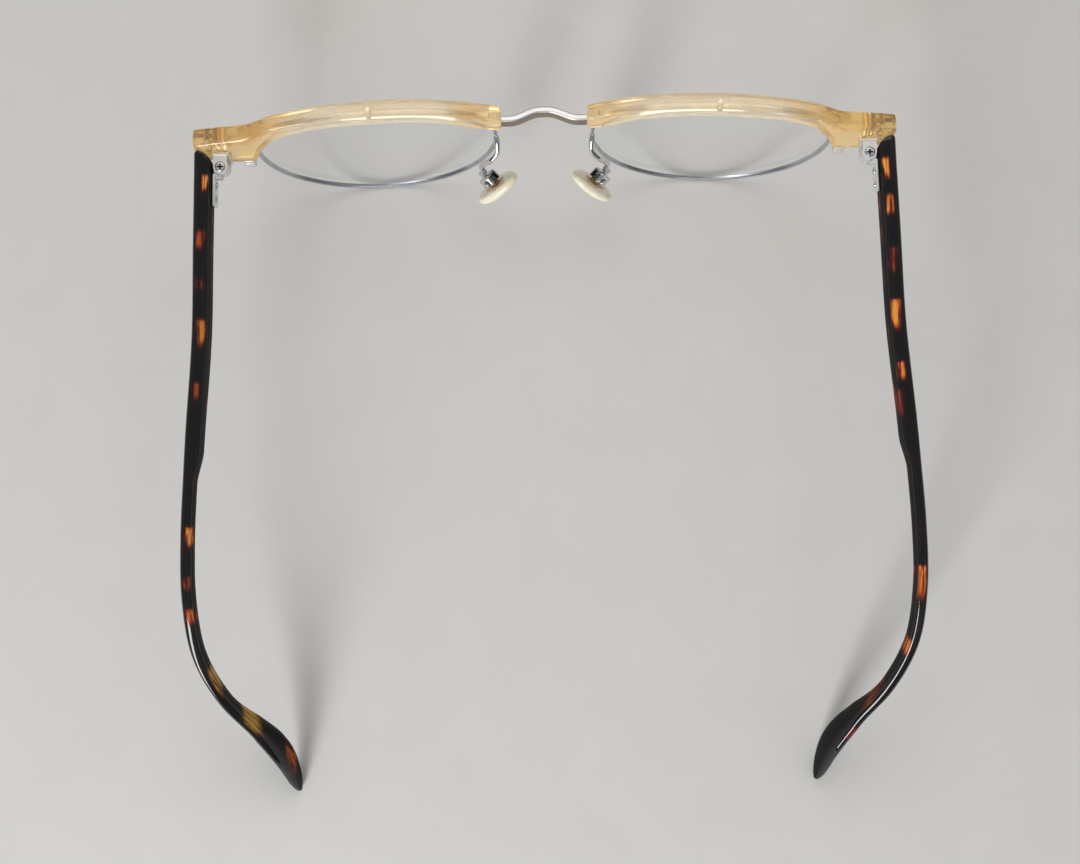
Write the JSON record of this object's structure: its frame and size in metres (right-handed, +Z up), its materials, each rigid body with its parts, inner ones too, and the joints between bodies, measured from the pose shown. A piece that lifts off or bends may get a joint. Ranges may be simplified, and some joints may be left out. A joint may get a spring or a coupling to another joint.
{
  "type": "browline eyeglasses",
  "caption": "Browline eyeglasses: clear acetate brows over thin metal eyewires, an arched metal bridge, nose pads that rock, and acetate temples that fold.",
  "frame": {"origin": "middle of the lower face of the bounding box, on the surface the glasses stand on", "axes": "+Z up, +Y forward as the wearer looks, +X towards the wearer's right"},
  "size_m": [0.147, 0.1418, 0.0416],
  "materials": {
    "brow_acetate": "polished clear champagne acetate",
    "temple_acetate": "polished tortoise acetate",
    "frame_metal": "satin nickel silver",
    "chrome_metal": "bright plated",
    "lens": "clear, polished, anti-reflection coated",
    "pad_silicone": "soft cream silicone",
    "pad_insert": "gold-coloured insert seen through the pad"
  },
  "bodies": {
    "front": {"bridge": "frame_metal", "eyewire_left": "frame_metal", "lens_left": "lens", "brow_left": "brow_acetate", "brow_screw_left": "frame_metal", "closing_block_upper_left": "frame_metal", "closing_block_lower_left": "frame_metal", "closing_screw_left": "frame_metal", "plaque_left": "frame_metal", "hinge_rivet_upper_left": "frame_metal", "hinge_rivet_lower_left": "frame_metal", "pad_arm_left": "chrome_metal", "pad_box_left": "chrome_metal", "pad_screw_left": "chrome_metal", "hinge_front_left": "frame_metal", "hinge_screw_left": "frame_metal", "eyewire_right": "frame_metal", "lens_right": "lens", "brow_right": "brow_acetate", "brow_screw_right": "frame_metal", "closing_block_upper_right": "frame_metal", "closing_block_lower_right": "frame_metal", "closing_screw_right": "frame_metal", "plaque_right": "frame_metal", "hinge_rivet_upper_right": "frame_metal", "hinge_rivet_lower_right": "frame_metal", "pad_arm_right": "chrome_metal", "pad_box_right": "chrome_metal", "pad_screw_right": "chrome_metal", "hinge_front_right": "frame_metal", "hinge_screw_right": "frame_metal"},
    "temple_left": {"temple_left": "temple_acetate", "temple_core_left": "frame_metal", "hinge_leaf_left": "frame_metal", "temple_rivet_front_left": "frame_metal", "temple_rivet_rear_left": "frame_metal"},
    "temple_right": {"temple_right": "temple_acetate", "temple_core_right": "frame_metal", "hinge_leaf_right": "frame_metal", "temple_rivet_front_right": "frame_metal", "temple_rivet_rear_right": "frame_metal"},
    "pad_left": {"nose_pad_left": "pad_silicone", "pad_stem_left": "pad_insert"},
    "pad_right": {"nose_pad_right": "pad_silicone", "pad_stem_right": "pad_insert"}
  },
  "joints": [
    {"name": "temple_fold_left", "type": "hinge", "parent": "front", "child": "temple_left", "pos_m": [-0.064, 0.05947, 0.033], "axis": [0, 0, 1], "range_deg": [0, 86]},
    {"name": "temple_fold_right", "type": "hinge", "parent": "front", "child": "temple_right", "pos_m": [0.064, 0.05947, 0.033], "axis": [0, 0, -1], "range_deg": [0, 68]},
    {"name": "pad_rock_left", "type": "hinge", "parent": "front", "child": "pad_left", "pos_m": [-0.01127, 0.05835, 0.01772], "axis": [-0.4507, -0.7553, 0.4758], "range_deg": [-8, 8]},
    {"name": "pad_rock_right", "type": "hinge", "parent": "front", "child": "pad_right", "pos_m": [0.01127, 0.05835, 0.01772], "axis": [0.4507, -0.7553, 0.4758], "range_deg": [-8, 8]}
  ]
}
